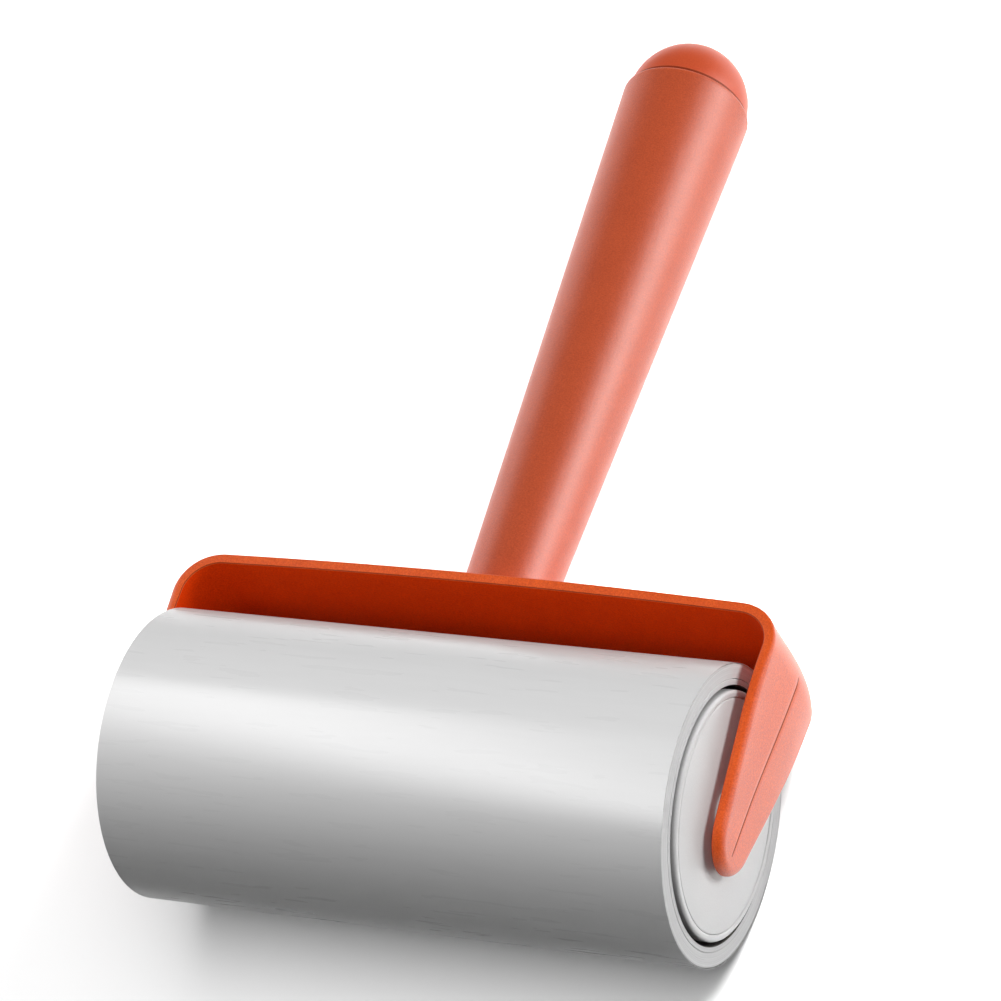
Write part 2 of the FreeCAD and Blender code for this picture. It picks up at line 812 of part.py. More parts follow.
# --- check and write ---------------------------------------------------------
for thing in doc.Objects:
    if "Invalid" in thing.State or "Error" in thing.State:
        raise RuntimeError(f"{thing.Label} did not compute: {thing.State}")
os.makedirs("parts", exist_ok=True)
for piece in pieces:
    shape = piece.Shape
    if shape.isNull() or not shape.isValid() or len(shape.Solids) != 1:
        raise RuntimeError(f"{piece.Label} is not one valid solid")
    shape.exportStep(f"parts/{piece.Label}.step")
    print(f"{piece.Label}: {shape.Volume:.1f} mm3")
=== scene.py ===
# %% [markdown]
# # A lint roller, from its frame to its finish
#
# The roller is a thin moulded yoke with a tapered handle. A drum spins between the yoke's arms
# and carries a refill of wound adhesive sheets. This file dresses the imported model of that
# roller. It first loads the model as a fixed frame, because every visible piece has to sit
# where the working design puts it.

# %% Load the frame
import json
import math

import bmesh
import bpy
import numpy as np
from mathutils import Matrix, Vector


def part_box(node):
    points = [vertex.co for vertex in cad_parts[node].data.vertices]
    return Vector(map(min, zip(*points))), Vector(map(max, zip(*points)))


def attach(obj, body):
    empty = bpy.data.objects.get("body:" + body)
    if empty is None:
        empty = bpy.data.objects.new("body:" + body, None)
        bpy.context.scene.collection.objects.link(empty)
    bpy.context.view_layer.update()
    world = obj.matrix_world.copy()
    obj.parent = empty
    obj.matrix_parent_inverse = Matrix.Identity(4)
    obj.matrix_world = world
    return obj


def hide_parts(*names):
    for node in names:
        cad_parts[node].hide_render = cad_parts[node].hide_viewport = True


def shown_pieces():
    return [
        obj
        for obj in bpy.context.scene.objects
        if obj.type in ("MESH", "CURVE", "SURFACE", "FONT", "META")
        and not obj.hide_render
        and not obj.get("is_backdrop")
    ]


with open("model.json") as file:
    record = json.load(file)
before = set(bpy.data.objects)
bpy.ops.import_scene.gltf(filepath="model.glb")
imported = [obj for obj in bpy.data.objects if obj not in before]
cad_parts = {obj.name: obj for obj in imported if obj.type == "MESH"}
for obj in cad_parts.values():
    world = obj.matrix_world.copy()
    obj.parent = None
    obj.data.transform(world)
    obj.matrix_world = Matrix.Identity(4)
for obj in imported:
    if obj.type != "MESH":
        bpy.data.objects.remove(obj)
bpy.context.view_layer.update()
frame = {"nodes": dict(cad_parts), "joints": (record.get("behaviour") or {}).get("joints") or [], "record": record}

# %% [markdown]
# ## The bench frame
#
# A maker draws a roller upright: the roll's axis across, the handle straight up, and the middle
# of the roll at zero. The real one lies down, on its roll and on the rim of the handle. So every
# piece here is drawn upright in millimetres, and one matrix lays it down. The matrix comes from
# the frame itself: the joint gives the roll's middle and a mount gives the handle's direction.

# %% From the upright drawing to the floor
MM = 0.001
spin = frame["joints"][0]
roll_middle = Vector(spin["pos_m"])
mounts = {mount["name"]: mount for mount in frame["record"]["mounts"]}
handle_way = Vector(mounts["handle_grip"]["axis"]).normalized()
across_way = Vector((1, 0, 0))
depth_way = handle_way.cross(across_way)
lay_down = (
    Matrix.Translation(roll_middle)
    @ Matrix((across_way, depth_way, handle_way)).transposed().to_4x4()
    @ Matrix.Scale(MM, 4)
)
print("roll's middle:", tuple(round(v, 4) for v in roll_middle))

# %% [markdown]
# ## The camera
#
# The camera comes first, so that each piece can be judged in the same view. It stands well back
# with a long lens, which keeps the roll's edges almost parallel, and it is rolled to one side so
# that the handle seems to rise although the roller lies flat.

# %% Camera
CAMERA_AZIMUTH = 45.2
CAMERA_ELEVATION = 53.17
CAMERA_ROLL = 33.97
CAMERA_DISTANCE = 0.8109
CAMERA_AIM = Vector((-0.0049, -0.0114, 0.0243))
CAMERA_LENS = 174.4

turn = math.radians(CAMERA_AZIMUTH)
rise = math.radians(CAMERA_ELEVATION)
back_way = Vector((math.sin(turn) * math.cos(rise), -math.cos(turn) * math.cos(rise),
                   math.sin(rise)))
camera_data = bpy.data.cameras.new("camera")
camera_data.lens = CAMERA_LENS
camera_data.sensor_width = 36.0
camera = bpy.data.objects.new("camera", camera_data)
bpy.context.scene.collection.objects.link(camera)
upright_look = (-back_way).to_track_quat("-Z", "Y").to_matrix().to_4x4()
camera.matrix_world = (
    Matrix.Translation(CAMERA_AIM + back_way * CAMERA_DISTANCE)
    @ upright_look
    @ Matrix.Rotation(-math.radians(CAMERA_ROLL), 4, "Z")
)
bpy.context.scene.camera = camera
print("camera at", tuple(round(v, 3) for v in camera.matrix_world.translation))

# %% [markdown]
# ## Sizes
#
# These are the sizes that the eye can check: wall thicknesses, radii and where each piece ends.
# What the frame already knows is read from it, so that the looks can't drift from the design.

# %% Sizes in millimetres
low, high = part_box("outer_sheet")
ROLL_HALF = (high.x - low.x) / 2 / MM
ROLL_RADIUS = (high.z - roll_middle.z) / MM
STRIP_THICKNESS = 1.9
STRIP_HALF_WIDTH = 11.64
ARM_PLACE = 54.44 - STRIP_THICKNESS / 2
ARM_PLACE_HEIGHT = 25.0
ARM_TOE_IN = 0.0236
ARCH_RADIUS = 1281.0 - STRIP_THICKNESS / 2
CROWN = 33.63 - STRIP_THICKNESS / 2
BEND_RADIUS = 7.71 - STRIP_THICKNESS / 2
TIP_RADIUS = 6.65
TIP_DROP = 3.2
SHOULDER = 23.7
SHOULDER_RADIUS = 52.0
SWELL = 0.75
SWELL_BACKWARD = 0.8
SEAT_HEIGHT = 33.85
RIM_HEIGHT = 141.6
RIM_RADIUS = 11.475
FOOT_RADIUS = 7.6
DOME_TOP = 153.065
SHEET = 0.12
print(f"roll: half length {ROLL_HALF:.2f}, radius {ROLL_RADIUS:.2f}")

# %% [markdown]
# ## Two ways to make a mesh
#
# Nearly every piece is either turned, like work on a lathe, or built point by point from a rule.
# The first helper takes finished points and faces, closes the seams, turns the normals out and
# lays the piece down. The second spins an outline about the roll's axis or the handle's axis.

# %% Mesh helpers
SMOOTH_ANGLE = math.radians(32)


def lay_mesh(name, points, faces, merge=1e-5, shades=None):
    """Make a piece from upright points in millimetres; return its object."""
    mesh = bpy.data.meshes.new(name)
    mesh.from_pydata([tuple(p) for p in points], [], faces)
    if shades:
        mesh.polygons.foreach_set("material_index", shades)
    work = bmesh.new()
    work.from_mesh(mesh)
    bmesh.ops.remove_doubles(work, verts=work.verts, dist=merge)
    bmesh.ops.dissolve_degenerate(work, edges=work.edges, dist=merge)
    bmesh.ops.recalc_face_normals(work, faces=work.faces)
    work.to_mesh(mesh)
    work.free()
    mesh.transform(lay_down)
    mesh.shade_smooth()
    mesh.set_sharp_from_angle(angle=SMOOTH_ANGLE)
    piece = bpy.data.objects.new(name, mesh)
    bpy.context.scene.collection.objects.link(piece)
    return piece


def turn_piece(name, outline, along="x", steps=192, second=()):
    """Spin a closed outline of (along, radius) points about the roll's or the handle's axis.

    Faces that start at an outline point in second get the piece's second material."""
    points = []
    for step in range(steps):
        angle = 2 * math.pi * step / steps
        for place, radius in outline:
            side, front = radius * math.cos(angle), radius * math.sin(angle)
            points.append((place, side, front) if along == "x" else (side, front, place))
    count = len(outline)
    faces, shades = [], []
    for step in range(steps):
        here, there = step * count, (step + 1) % steps * count
        for i in range(count):
            j = (i + 1) % count
            faces.append((here + i, here + j, there + j, there + i))
            shades.append(int(i in second))
    return lay_mesh(name, points, faces, shades=shades)


def round_corner(centre, radius, start, end, steps=8):
    """Points of an arc of an outline, from one angle to another, in degrees."""
    angles = np.radians(np.linspace(start, end, steps + 1))
    return [(centre[0] + radius * math.cos(a), centre[1] + radius * math.sin(a))
            for a in angles]


def tell(piece):
    print(f"{piece.name}: {len(piece.data.vertices)} points, {len(piece.data.polygons)} faces")
    return piece


# %% [markdown]
# ## Moulded plastic with a fine grain
#
# The yoke and the handle are moulded in tools whose steel is spark-eroded, which leaves a fine
# even grain. It could be sculpted, but at a fifth of a millimetre a procedural bump is the honest
# scale. Noise at two sizes moves the colour a little as well, and the finer of the two moves the
# roughness, so that no patch is quite the same as the next. The patterns read Object coordinates,
# so they stay in place when the drum turns.

# %% Material helper and the plastics
DRIFT_SHARE = 0.2
MOTTLE_SHARE = 0.8


def new_material(name):
    material = bpy.data.materials.new(name)
    material.use_nodes = True
    tree = material.node_tree
    shader = tree.nodes["Principled BSDF"]
    place = tree.nodes.new("ShaderNodeTexCoord")
    return material, tree, shader, place


def add_noise(tree, place, scale, detail=2.0, roughness=0.5):
    noise = tree.nodes.new("ShaderNodeTexNoise")
    noise.inputs["Scale"].default_value = scale
    noise.inputs["Detail"].default_value = detail
    noise.inputs["Roughness"].default_value = roughness
    tree.links.new(place.outputs["Object"], noise.inputs["Vector"])
    return noise.outputs["Fac"]


def add_range(tree, source, low, high):
    """Stretch a 0.3 to 0.7 noise to the given range."""
    scale = tree.nodes.new("ShaderNodeMapRange")
    scale.inputs["From Min"].default_value = 0.3
    scale.inputs["From Max"].default_value = 0.7
    scale.inputs["To Min"].default_value = low
    scale.inputs["To Max"].default_value = high
    tree.links.new(source, scale.inputs["Value"])
    return scale.outputs["Result"]


def add_blend(tree, source, dark, light):
    blend = tree.nodes.new("ShaderNodeMix")
    blend.data_type = "RGBA"
    blend.inputs["A"].default_value = (*dark, 1.0)
    blend.inputs["B"].default_value = (*light, 1.0)
    tree.links.new(source, blend.inputs["Factor"])
    return blend.outputs["Result"]


def add_bump(tree, shader, source, strength, depth):
    bump = tree.nodes.new("ShaderNodeBump")
    bump.inputs["Strength"].default_value = strength
    bump.inputs["Distance"].default_value = depth
    tree.links.new(source, bump.inputs["Height"])
    tree.links.new(bump.outputs["Normal"], shader.inputs["Normal"])


def grained_plastic(name, dark, light, roughness, grain, specular=0.5):
    """Moulded plastic: fine grain in the bump, drift and mottle in the colour."""
    material, tree, shader, place = new_material(name)
    fine = add_noise(tree, place, 5200, 3.0, 0.6)
    drift = add_noise(tree, place, 160, 4.0, 0.55)
    mottle = add_noise(tree, place, 3600, 2.0, 0.6)
    both = tree.nodes.new("ShaderNodeMath")
    both.operation = "MULTIPLY_ADD"
    both.inputs[1].default_value = DRIFT_SHARE
    tree.links.new(drift, both.inputs[0])
    share = tree.nodes.new("ShaderNodeMath")
    share.operation = "MULTIPLY"
    share.inputs[1].default_value = MOTTLE_SHARE
    tree.links.new(mottle, share.inputs[0])
    tree.links.new(share.outputs["Value"], both.inputs[2])
    blended = add_range(tree, both.outputs["Value"], 0.0, 1.0)
    tree.links.new(add_blend(tree, blended, dark, light), shader.inputs["Base Color"])
    tree.links.new(add_range(tree, mottle, roughness - 0.05, roughness + 0.05),
                   shader.inputs["Roughness"])
    shader.inputs["Specular IOR Level"].default_value = specular
    add_bump(tree, shader, fine, grain, 0.00006)
    return material


yoke_plastic = grained_plastic("coral_grained_yoke", (0.60, 0.060, 0.004),
                               (0.88, 0.130, 0.017), 0.45, 0.8, specular=0.55)
# The inner face is matte, and its colour is darker and deeper than the yoke's: painted shade for the shadowed
# inside of the band.
inner_plastic_painted_shade = grained_plastic("coral_matte_inner_face_painted_shade", (0.64, 0.034, 0.001),
                                (0.86, 0.060, 0.002), 0.70, 0.6, specular=0.05)
# Painted shade: a darker coral for the parting line, the crease at the strip's inner edge, the step at the dome's
# foot and the handle's rebate.
painted_seam_shade = grained_plastic("coral_seam_shadow", (0.30, 0.036, 0.010),
                               (0.40, 0.056, 0.016), 0.60, 0.3, specular=0.2)
handle_plastic = grained_plastic("coral_grained_handle", (0.66, 0.089, 0.024),
                                 (0.84, 0.132, 0.038), 0.42, 0.8, specular=0.5)
dome_plastic = grained_plastic("coral_satin_dome", (0.78, 0.096, 0.026),
                               (0.86, 0.124, 0.038), 0.45, 0.3, specular=0.4)
disc_plastic = grained_plastic("pale_satin_disc", (0.79, 0.79, 0.79),
                               (0.84, 0.84, 0.84), 0.42, 0.15)
print("plastics:", yoke_plastic.name, handle_plastic.name, dome_plastic.name, disc_plastic.name)

# %% [markdown]
# ## Paper
#
# The refill is coated paper, wound with its sticky face out. The coating gives it a satin gloss
# with a soft edge. The end of the roll shows the cut edges of every turn, so that face gets fine
# rings that follow the distance from the axis, over the real turns of the strip.

# %% Paper materials
def satin_paper(name, shade, roughness):
    """Coated paper: faint fibres in the tone and in an even satin gloss."""
    material, tree, shader, place = new_material(name)
    stretch = tree.nodes.new("ShaderNodeMapping")
    stretch.inputs["Scale"].default_value = (0.12, 1.0, 1.0)
    tree.links.new(place.outputs["Object"], stretch.inputs["Vector"])
    fibre = tree.nodes.new("ShaderNodeTexNoise")
    fibre.inputs["Scale"].default_value = 700
    fibre.inputs["Detail"].default_value = 2.0
    tree.links.new(stretch.outputs["Vector"], fibre.inputs["Vector"])
    fibre_out = fibre.outputs["Fac"]
    tone = add_blend(tree, add_range(tree, fibre_out, 0, 1), (shade - 0.008,) * 3,
                     (shade + 0.006,) * 3)
    tree.links.new(tone, shader.inputs["Base Color"])
    tree.links.new(add_range(tree, fibre_out, roughness - 0.01, roughness + 0.01),
                   shader.inputs["Roughness"])
    shader.inputs["Specular IOR Level"].default_value = 0.3
    return material


def cut_paper_edge(name, dark, light, pitch):
    """The end of a wound roll: rings at the pitch of the sheets, with uneven tone."""
    material, tree, shader, place = new_material(name)
    centre = tree.nodes.new("ShaderNodeMapping")
    centre.inputs["Location"].default_value = -roll_middle
    tree.links.new(place.outputs["Object"], centre.inputs["Vector"])
    parts = tree.nodes.new("ShaderNodeSeparateXYZ")
    tree.links.new(centre.outputs["Vector"], parts.inputs["Vector"])
    flat = tree.nodes.new("ShaderNodeCombineXYZ")
    tree.links.new(parts.outputs["Y"], flat.inputs["Y"])
    tree.links.new(parts.outputs["Z"], flat.inputs["Z"])
    reach = tree.nodes.new("ShaderNodeVectorMath")
    reach.operation = "LENGTH"
    tree.links.new(flat.outputs["Vector"], reach.inputs[0])
    rings = tree.nodes.new("ShaderNodeTexNoise")
    rings.noise_dimensions = "1D"
    rings.inputs["Scale"].default_value = 1 / pitch
    rings.inputs["Detail"].default_value = 2.0
    tree.links.new(reach.outputs["Value"], rings.inputs["W"])
    tone = add_blend(tree, add_range(tree, rings.outputs["Fac"], 0, 1), dark, light)
    tree.links.new(tone, shader.inputs["Base Color"])
    shader.inputs["Roughness"].default_value = 0.62
    add_bump(tree, shader, rings.outputs["Fac"], 0.10, 0.00004)
    return material


sheet_paper = satin_paper("satin_sheet_paper", 0.80, 0.28)
edge_paper = cut_paper_edge("cut_paper_edge", (0.80,) * 3, (0.92,) * 3, 0.00024)
core_board = cut_paper_edge("white_core_board", (0.76,) * 3, (0.84,) * 3, 0.0004)
# Near-black board for the core's bore: painted shade that keeps the gap between the cap and the core dark.
bore_board_painted_shade = cut_paper_edge("near_black_bore_painted_shade", (0.020, 0.018, 0.016),
                            (0.035, 0.030, 0.026), 0.0004)
print("paper:", sheet_paper.name, edge_paper.name, core_board.name, bore_board_painted_shade.name)

# %% [markdown]
# ## The yoke's strip
#
# The yoke is one thin strip: a flat band over the roll, a bend at each end, and an arm that
# tapers to a round tip. It could be a box that is bent with a modifier, but then the edge
# rounding would be the same all round. Here it is lofted. Stations run along the strip, each
# with a half width, and at each station the section is drawn with its own edge radii: crisp on
# the band, soft on the arms. The rounding follows the outline round the tip as well.

# %% Stations along half of the strip
ARM_LEAN = math.atan(ARM_TOE_IN)
ARM_OUT = (math.cos(ARM_LEAN), -math.sin(ARM_LEAN))
ARCH_MIDDLE = CROWN - ARCH_RADIUS


def arm_place(height):
    return ARM_PLACE + ARM_TOE_IN * (height - ARM_PLACE_HEIGHT)


def find_bend():
    """Height where the bend starts: its circle touches the arm's line and the arch."""
    x = arm_place(0) - BEND_RADIUS * ARM_OUT[0]
    z = -BEND_RADIUS * ARM_OUT[1] - ARCH_MIDDLE
    square = ARM_TOE_IN**2 + 1
    half_slope = ARM_TOE_IN * x + z
    rest = x**2 + z**2 - (ARCH_RADIUS - BEND_RADIUS) ** 2
    return (math.sqrt(half_slope**2 - square * rest) - half_slope) / square


BEND_START = find_bend()
BEND_X = arm_place(BEND_START) - BEND_RADIUS * ARM_OUT[0]
BEND_Z = BEND_START - BEND_RADIUS * ARM_OUT[1]
ARCH_ANGLE = math.atan2(BEND_X, BEND_Z - ARCH_MIDDLE)


def arm_half_width(height):
    """Half the arm's width at a height: shoulder, straight taper, round tip."""
    across = STRIP_HALF_WIDTH - SHOULDER_RADIUS
    lean = math.asin((TIP_RADIUS - SHOULDER_RADIUS) / math.hypot(across, SHOULDER + TIP_DROP))
    taper = math.atan2(across, SHOULDER + TIP_DROP) - lean
    if height >= SHOULDER:
        return STRIP_HALF_WIDTH
    if height >= SHOULDER - SHOULDER_RADIUS * math.sin(taper):
        return across + math.sqrt(SHOULDER_RADIUS**2 - (height - SHOULDER) ** 2)
    if height >= -TIP_DROP - TIP_RADIUS * math.sin(taper):
        return (TIP_RADIUS + (height + TIP_DROP) * math.sin(taper)) / math.cos(taper)
    return math.sqrt(max(TIP_RADIUS**2 - (height + TIP_DROP) ** 2, 0.0))


def half_strip():
    """(place, outward, along) of the right half, from the arm's tip to the band's middle."""
    path = []
    arm_along = (-ARM_OUT[1], ARM_OUT[0])
    for angle in np.linspace(90, 0, 31):
        height = -TIP_DROP - TIP_RADIUS * math.sin(math.radians(angle))
        path.append(((arm_place(height), height), ARM_OUT, arm_along))
    for height in np.linspace(-TIP_DROP, BEND_START, 60)[1:]:
        path.append(((arm_place(height), height), ARM_OUT, arm_along))
    for angle in np.linspace(-ARM_LEAN, math.pi / 2 - ARCH_ANGLE, 36)[1:]:
        out = (math.cos(angle), math.sin(angle))
        place = (BEND_X + BEND_RADIUS * out[0], BEND_Z + BEND_RADIUS * out[1])
        path.append((place, out, (-out[1], out[0])))
    for angle in np.linspace(ARCH_ANGLE, 0, 28)[1:]:
        out = (math.sin(angle), math.cos(angle))
        place = (ARCH_RADIUS * out[0], ARCH_MIDDLE + ARCH_RADIUS * out[1])
        path.append((place, out, (-out[1], out[0])))
    return path


def whole_strip():
    right = half_strip()
    left = [((-p[0], p[1]), (-o[0], o[1]), (a[0], -a[1])) for p, o, a in reversed(right[:-1])]
    return right + left


print(f"{len(whole_strip())} stations, bend centre at {BEND_X:.2f}, {BEND_Z:.2f}")

# %% [markdown]
# The section's edge radius grows from the band, round the bend and down to the tip. The scored
# parting line is part of the same section: three points in the middle of the outer face, of
# which the middle one sinks where the line runs. Its faces get a darker coral, which is painted
# shade, because the lamps reach the bottom of the shallow groove. The inner face has a finish of
# its own, because that side of the mould is only blasted and comes out matte; its colour is also
# darker and deeper than the yoke's, which is painted shade for the shadowed inside of the band.
# The crease where the inner face starts gets the same painted shade as the parting line.

# %% Loft the strip
BAND_EDGE = 0.40
ARM_EDGE = 1.15
TIP_EDGE = 1.45
INNER_EDGE = 0.22
LINE_HALF_WIDTH = 0.16
LINE_DEPTH = 0.08
LINE_LOW = -8.0
LINE_HIGH = 27.0
LINE_FADE = 0.6
SWELL_START = 20
SWELL_FULL = 45
INNER_FACE = range(24, 32)
SHADED_INNER_CREASE = (21, 22, 33, 34)


def ease(value, low, high):
    part = min(max((value - low) / (high - low), 0.0), 1.0)
    return part * part * (3 - 2 * part)


def swelling(place):
    """How far the outer face swells in its middle: only round the bends."""
    return (SWELL * ease(place[1], 0, ARM_PLACE_HEIGHT)
            * ease(abs(place[0]), SWELL_START, SWELL_FULL))


def outer_edge(place):
    """Edge radius of the outer face at a station."""
    on_arm = 1 - ease(place[1], BEND_Z - 6, BEND_Z + BEND_RADIUS * 0.9)
    near_tip = 1 - ease(place[1], -TIP_DROP, TIP_DROP * 2)
    return BAND_EDGE + (ARM_EDGE - BAND_EDGE) * on_arm + (TIP_EDGE - ARM_EDGE) * near_tip


def loft_strip():
    path = whole_strip()
    centre = np.array([p for p, _, _ in path])
    outward = np.array([o for _, o, _ in path])
    along = np.array([a for _, _, a in path])
    steps = np.linalg.norm(np.diff(centre, axis=0), axis=1)
    run = np.concatenate([[0], np.cumsum(steps)])
    width = np.array([arm_half_width(z) for z in centre[:, 1]])
    slope = np.gradient(width, run)
    lean = np.arctan(slope)
    lean[0], lean[-1] = math.pi / 2, -math.pi / 2
    for i in range(len(path)):
        below = -TIP_DROP - centre[i][1]
        if below > 0:
            turned = math.asin(min(below / TIP_RADIUS, 1.0))
            lean[i] = turned if i < len(path) / 2 else -turned
    half = STRIP_THICKNESS / 2
    points, section, scores = [], 0, []
    for i in range(len(path)):
        edge = outer_edge(centre[i])
        score = (ease(centre[i][1], LINE_LOW - LINE_FADE, LINE_LOW + LINE_FADE)
                 * (1 - ease(centre[i][1], LINE_HIGH - 2, LINE_HIGH)))
        scores.append(score)
        out_way = (-math.sin(lean[i]), math.cos(lean[i]))

        def place(inset, height, side, spread=1.0, i=i, out_way=out_way):
            shift = -inset * out_way[0]
            reach = (width[i] - inset * out_way[1]) * spread
            if height > 0:
                share = side * spread
                height += (swelling(centre[i]) * (1 - share**2)
                           * (1 + SWELL_BACKWARD * share))
            x, z = centre[i] + along[i] * shift + outward[i] * height
            return (x, side * reach, z)

        one_side = []
        for side in (1, -1):
            loop = [place(edge, half, side, s) for s in np.linspace(0.12, 1, 11)]
            for angle in np.radians(np.linspace(75, 0, 6)):
                loop.append(place(edge * (1 - math.cos(angle)),
                                  half - edge * (1 - math.sin(angle)), side))
            for angle in np.radians(np.linspace(0, 90, 5)):
                loop.append(place(INNER_EDGE * (1 - math.cos(angle)),
                                  -half + INNER_EDGE * (1 - math.sin(angle)), side))
            loop += [place(INNER_EDGE, -half, side, s) for s in (0.75, 0.5, 0.25)]
            one_side.append(loop)
        line_reach = min(LINE_HALF_WIDTH, width[i] * 0.1)
        spread = line_reach / max(width[i] - edge * out_way[1], 1e-6)
        middle = [place(edge, half, -1, min(spread, 0.1)),
                  place(edge, half - LINE_DEPTH * score, 1, 0.0),
                  place(edge, half, 1, min(spread, 0.1))]
        bottom = [place(INNER_EDGE, -half, 1, 0.0)]
        ring = middle + one_side[0] + bottom + one_side[1][::-1]
        section = len(ring)
        points += ring
    faces, shades = [], []
    for i in range(len(path) - 1):
        for j in range(section):
            k = (j + 1) % section
            a, b = i * section, (i + 1) * section
            faces.append((a + j, a + k, b + k, b + j))
            # Painted shade: the faces of the parting line's groove and of the inner crease get the darker coral.
            if j in SHADED_INNER_CREASE or (j < 2 and scores[i] > 0.3):
                shades.append(1)
            else:
                shades.append(2 if j in INNER_FACE else 0)
    return lay_mesh("yoke_strip", points, faces, merge=1e-4, shades=shades)


yoke_strip = tell(loft_strip())
yoke_strip.data.materials.append(yoke_plastic)
yoke_strip.data.materials.append(painted_seam_shade)
yoke_strip.data.materials.append(inner_plastic_painted_shade)
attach(yoke_strip, "frame")
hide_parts("yoke")

# %% [markdown]
# ## The spigot
#
# A short round post stands on the band and goes up inside the handle. It is moulded with the
# strip. It is turned here as a piece of its own, because it is round and the strip isn't.

# %% Spigot
PAD_BOTTOM = 33.0
PAD_RADIUS = 7.1
SPIGOT_RADIUS = 5.0
SPIGOT_TOP = 51.85
SPIGOT_CHAMFER = 0.5
INSERT_FLOOR = 43.85
INSERT_RADIUS = 2.6
SCREW_FLOOR = 37.85
SCREW_RADIUS = 1.7
spigot = tell(turn_piece("yoke_spigot", [
    (PAD_BOTTOM, 0.0), (PAD_BOTTOM, PAD_RADIUS), (SEAT_HEIGHT, PAD_RADIUS),
    (SEAT_HEIGHT, SPIGOT_RADIUS), (SPIGOT_TOP - SPIGOT_CHAMFER, SPIGOT_RADIUS),
    (SPIGOT_TOP, SPIGOT_RADIUS - SPIGOT_CHAMFER),
    (SPIGOT_TOP, INSERT_RADIUS), (INSERT_FLOOR, INSERT_RADIUS), (INSERT_FLOOR, SCREW_RADIUS),
    (SCREW_FLOOR, SCREW_RADIUS), (SCREW_FLOOR, 0.0),
], along="z", steps=96))
spigot.data.materials.append(yoke_plastic)
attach(spigot, "frame")
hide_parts("yoke")

# %% [markdown]
# ## The handle
#
# The handle is a turned form: a hollow taper, thin at the yoke and thick at the open end. A
# lathe outline makes it in one go. The foot and the rim are rounded, because those two lines
# catch the light, and the bore and the bulkhead are there for anyone who pulls the dome off.

# %% Handle tube
TAPER = (RIM_RADIUS - FOOT_RADIUS) / (RIM_HEIGHT - SEAT_HEIGHT)
FOOT_ROUND = 0.55
RIM_ROUND = 0.90
REBATE_RADIUS = 11.04
REBATE_DEPTH = 0.9
RIM_BORE = 9.49
BORE_NARROWS = 128.0
BULKHEAD = (52.2, 55.0)
BULKHEAD_BORE = 6.36
BULKHEAD_HOLE = 1.6
SOCKET_RADIUS = 5.05
SNAP_HEIGHTS = (136.5, 136.0, 135.5)
SNAP_DEPTH = 0.2
WALL_MARGIN = 1.5


def taper_radius(height):
    return FOOT_RADIUS + TAPER * (height - SEAT_HEIGHT)


foot = round_corner((SEAT_HEIGHT + FOOT_ROUND, taper_radius(SEAT_HEIGHT) - FOOT_ROUND),
                    FOOT_ROUND, 180, 92)
wall = [(z, taper_radius(z)) for z in np.linspace(SEAT_HEIGHT + WALL_MARGIN,
                                                   RIM_HEIGHT - WALL_MARGIN, 40)]
rim_middle = (RIM_HEIGHT - RIM_ROUND, taper_radius(RIM_HEIGHT - RIM_ROUND) - RIM_ROUND)
rim_end = math.degrees(math.asin((REBATE_RADIUS - rim_middle[1]) / RIM_ROUND))
rim = round_corner(rim_middle, RIM_ROUND, 92, rim_end)
rebate_low = RIM_HEIGHT - REBATE_DEPTH
inside = [(rebate_low, REBATE_RADIUS), (rebate_low, RIM_BORE),
          (SNAP_HEIGHTS[0], RIM_BORE), (SNAP_HEIGHTS[1], RIM_BORE + SNAP_DEPTH),
          (SNAP_HEIGHTS[2], RIM_BORE), (BORE_NARROWS, RIM_BORE),
          (BULKHEAD[1], BULKHEAD_BORE), (BULKHEAD[1], BULKHEAD_HOLE),
          (BULKHEAD[0], BULKHEAD_HOLE), (BULKHEAD[0], SOCKET_RADIUS),
          (SEAT_HEIGHT, SOCKET_RADIUS)]
# The rebate's wall and floor get the darker coral: painted shade in the step under the dome.
rim_last = len(foot + wall + rim) - 1
handle_tube = tell(turn_piece("handle_grip", foot + wall + rim + inside, along="z",
                              second=(rim_last, rim_last + 1)))
handle_tube.data.materials.append(handle_plastic)
handle_tube.data.materials.append(painted_seam_shade)
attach(handle_tube, "frame")
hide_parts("handle_tube")

# %% [markdown]
# ## The domed end
#
# The dome is a separate moulding. It is a little smaller than the rim, so a fine step runs round
# the seam, and its plug snaps into the handle's bore. The shadow that collects in the step gets
# the darker tone of the parting line.

# %% Dome
DOME_FOOT = 10.78
DOME_ROOF_RADIUS = 9.07
PLUG_BORE = 7.89
PLUG_RADIUS = 9.47
PLUG_END = 132.0
STEP_GAP = 0.02
step_low = RIM_HEIGHT - REBATE_DEPTH + STEP_GAP
dome_outside = [(step_low, PLUG_RADIUS), (step_low, DOME_FOOT)] + [
    (RIM_HEIGHT + (DOME_TOP - RIM_HEIGHT) * math.sin(turn), DOME_FOOT * math.cos(turn))
    for turn in np.radians(np.linspace(0, 90, 41))
]
roof = math.degrees(math.asin(PLUG_BORE / DOME_ROOF_RADIUS))
dome_inside = round_corner((RIM_HEIGHT, 0.0), DOME_ROOF_RADIUS, roof, 0, steps=16)
plug = [(SNAP_HEIGHTS[0], PLUG_RADIUS), (SNAP_HEIGHTS[1], PLUG_RADIUS + SNAP_DEPTH),
        (SNAP_HEIGHTS[2], PLUG_RADIUS), (PLUG_END, PLUG_RADIUS), (PLUG_END, PLUG_BORE)]
dome = tell(turn_piece("handle_dome", dome_outside + plug + dome_inside, along="z",
                       second=(1, 2)))
dome.data.materials.append(dome_plastic)
dome.data.materials.append(painted_seam_shade)
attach(dome, "frame")
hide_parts("handle_end_cap")

